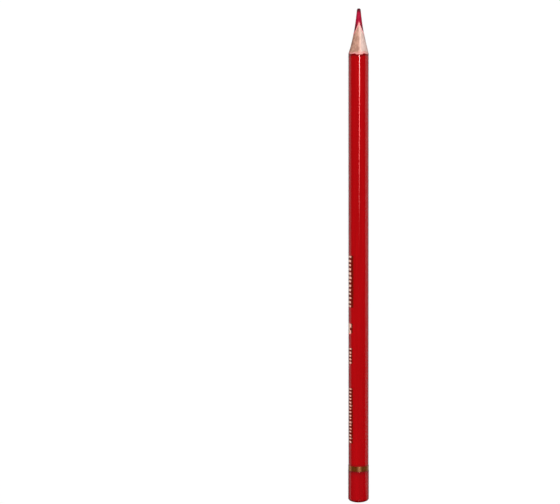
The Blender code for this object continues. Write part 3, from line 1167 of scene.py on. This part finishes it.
def make_camera():
    """Solves the lens and the turn of a camera at a given eye, so that both ends fall on their pixels."""
    view_x, view_z = direction(VIEW_ANGLE)
    toward_eye = Vector((view_x, 0, view_z))
    along = Vector((0, 1, 0))
    eye = Vector((0, TIP_Y + EYE_PAST_TIP, AXIS_Z)) + toward_eye * EYE_DISTANCE
    tip_lean = math.atan2(-EYE_PAST_TIP, EYE_DISTANCE)
    blunt_lean = math.atan2(-EYE_PAST_TIP - LENGTH, EYE_DISTANCE)
    tip_up = PHOTO_H / 2 - TIP_PX
    blunt_up = PHOTO_H / 2 - BLUNT_PX

    def too_wide(reach):
        return math.atan(tip_up / reach) - math.atan(blunt_up / reach) > tip_lean - blunt_lean

    reach = solve(*FOCAL_RANGE_PX, too_wide)
    pitch = tip_lean - math.atan(tip_up / reach)
    aside = AXIS_PX - PHOTO_W / 2
    focal = math.sqrt(reach**2 - aside**2)
    toward = -toward_eye * math.cos(pitch) + along * math.sin(pitch)
    up = toward_eye * math.sin(pitch) + along * math.cos(pitch)
    turn = math.atan(aside / focal)
    forward = toward * math.cos(turn) - toward.cross(up) * math.sin(turn)
    camera = bpy.data.cameras.new("camera")
    camera.sensor_width = SENSOR
    camera.lens = focal * SENSOR / PHOTO_W
    camera.clip_start, camera.clip_end = CLIP_RANGE
    obj = new_object("camera", camera)
    obj.matrix_world = placed(forward.cross(up), up, -forward, eye)
    bpy.context.scene.camera = obj


def make_floor():
    """A plain pale sheet, white with the pencil's shadow to the camera. In the gloss it is a nearby card."""
    material = bpy.data.materials.new("floor")
    material.use_nodes = True
    n = Nodes(material.node_tree)
    n.tree.nodes.clear()
    path = n.add("ShaderNodeLightPath").outputs
    axes = n.axes(n.add("ShaderNodeTexCoord").outputs["Object"])
    card = n.spread(axes["X"], CARD_EDGE, CARD_EDGE + CARD_FADE, CARD_GREY, CARD_BEYOND_GREY)
    dimmed = n.spread(axes["Y"], CARD_DIM_Y, CARD_FULL_Y, CARD_DIM, 1.0, "LINEAR")
    begun = n.spread(axes["Y"], CARD_START_Y, CARD_WHOLE_Y)
    mirrored = n.maths("MULTIPLY", n.maths("MULTIPLY", card, dimmed), begun)
    plain = n.choose(path["Is Camera Ray"], FLOOR_GREY, FLOOR_SEEN_GREY)
    sheet = n.add("ShaderNodeBsdfDiffuse")
    n.put(sheet.inputs["Color"], n.choose(path["Is Glossy Ray"], plain, mirrored))
    glow = n.add("ShaderNodeEmission")
    n.put(glow.inputs["Strength"], n.maths("MULTIPLY", path["Is Camera Ray"], FLOOR_GLOW))
    both = n.add("ShaderNodeAddShader")
    n.put(both.inputs[0], sheet.outputs[0])
    n.put(both.inputs[1], glow.outputs[0])
    output = n.add("ShaderNodeOutputMaterial")
    n.put(output.inputs["Surface"], both.outputs[0])
    half = FLOOR_SIZE / 2
    corners = [(-half, -half, 0), (half, -half, 0), (half, half, 0), (-half, half, 0)]
    mesh = bpy.data.meshes.new("floor")
    mesh.from_pydata(corners, [], [(0, 1, 2, 3)])
    mesh.materials.append(material)
    floor = new_object("floor", mesh)


def make_world():
    """White to the camera, even soft light on the object, and in its gloss a pale panel low on the left."""
    world = bpy.data.worlds.new("studio")
    bpy.context.scene.world = world
    world.use_nodes = True
    n = Nodes(world.node_tree)
    n.tree.nodes.clear()
    path = n.add("ShaderNodeLightPath").outputs
    camera, glossy = path["Is Camera Ray"], path["Is Glossy Ray"]
    axes = n.axes(n.add("ShaderNodeTexCoord").outputs["Generated"])
    leftward = n.maths("MAXIMUM", n.maths("MULTIPLY", axes["X"], -1.0), LEAST_LEFTWARD)
    slope = n.maths("DIVIDE", axes["Z"], leftward)
    low, high = PANEL_TOP * (1 - PANEL_FADE), PANEL_TOP * (1 + PANEL_FADE)
    panel = n.spread(slope, low, high, PANEL_GLOW / PANEL_TINT[1], DIM_GLOW)
    mirrored = n.maths("MULTIPLY", glossy, panel)
    around = n.spread(axes["Y"], AMBIENT_LOW_Y, AMBIENT_FULL_Y, AMBIENT_LOW, AMBIENT, "LINEAR")
    unseen = n.maths("MULTIPLY", n.maths("SUBTRACT", 1.0, glossy), n.maths("SUBTRACT", 1.0, camera))
    soft = n.maths("MULTIPLY", unseen, around)
    background = n.add("ShaderNodeBackground")
    n.put(background.inputs["Color"], n.mix(glossy, (1, 1, 1), PANEL_TINT))
    n.put(background.inputs["Strength"], n.maths("ADD", n.maths("ADD", mirrored, soft), camera))
    output = n.add("ShaderNodeOutputWorld")
    n.put(output.inputs["Surface"], background.outputs[0])


def lamp_data(name, width, depth, watts):
    light = bpy.data.lights.new(name, "AREA")
    light.shape = "RECTANGLE"
    light.size = width
    light.size_y = depth
    light.energy = watts
    return light


def make_soft_lamp(name, place, watts):
    """A broad lamp that faces the pencil."""
    obj = new_object(name, lamp_data(name, LAMP_WIDTH, LAMP_DEPTH, watts))
    turn = Vector(place).normalized().to_track_quat("Z", "Y").to_matrix().to_4x4()
    obj.matrix_world = Matrix.Translation(place) @ turn
    return obj


def make_ridge_strip():
    """A narrow lamp that the upper ridge mirrors as a thin line, fading from the point to the band."""
    length = STRIP_HIGH_Y - STRIP_LOW_Y
    # At this wattage the strength in the tree is the lamp's own brightness
    watts = math.pi * STRIP_WIDTH * length
    light = lamp_data("ridge_strip", STRIP_WIDTH, length, watts)
    light.color = STRIP_TINT
    light.use_nodes = True
    n = Nodes(light.node_tree)
    axes = n.axes(n.add("ShaderNodeNewGeometry").outputs["Position"])
    past = n.maths("SUBTRACT", STRIP_BRIGHT_Y, axes["Y"])
    fast = n.maths("MULTIPLY", n.maths("POWER", math.exp(-STRIP_FALL), past), STRIP_FAST)
    slope = STRIP_SLOW / (STRIP_BRIGHT_Y - STRIP_DARK_Y)
    fading = n.maths("SUBTRACT", STRIP_SLOW, n.maths("MULTIPLY", past, slope))
    strength = n.maths("ADD", fast, n.maths("MAXIMUM", fading, 0.0))
    n.put(n.tree.nodes["Emission"].inputs["Strength"], strength)
    x, z = direction(STRIP_ANGLE)
    toward, along = Vector((x, 0, z)), Vector((0, 1, 0))
    place = Vector((0, (STRIP_HIGH_Y + STRIP_LOW_Y) / 2, AXIS_Z)) + toward * STRIP_DISTANCE
    obj = new_object("ridge_strip", light)
    turn = Matrix.Rotation(STRIP_TURN, 4, "Z")
    obj.matrix_world = placed(along.cross(toward), along, toward, place) @ turn
    obj.visible_diffuse = False


def make_lamps():
    key = make_soft_lamp("key_soft_light", KEY_PLACE, KEY_WATTS)
    key.visible_glossy = False
    make_soft_lamp("far_soft_light", FAR_PLACE, FAR_WATTS)
    make_soft_lamp("near_soft_light", NEAR_PLACE, NEAR_WATTS)
    make_ridge_strip()


make_core()
make_slats()
make_seams()
make_primer()
make_paint()
make_band()
make_cap()
make_scale()
dress_hidden()
make_floor()
make_world()
make_lamps()
make_camera()

bpy.context.scene.view_settings.view_transform = "Standard"
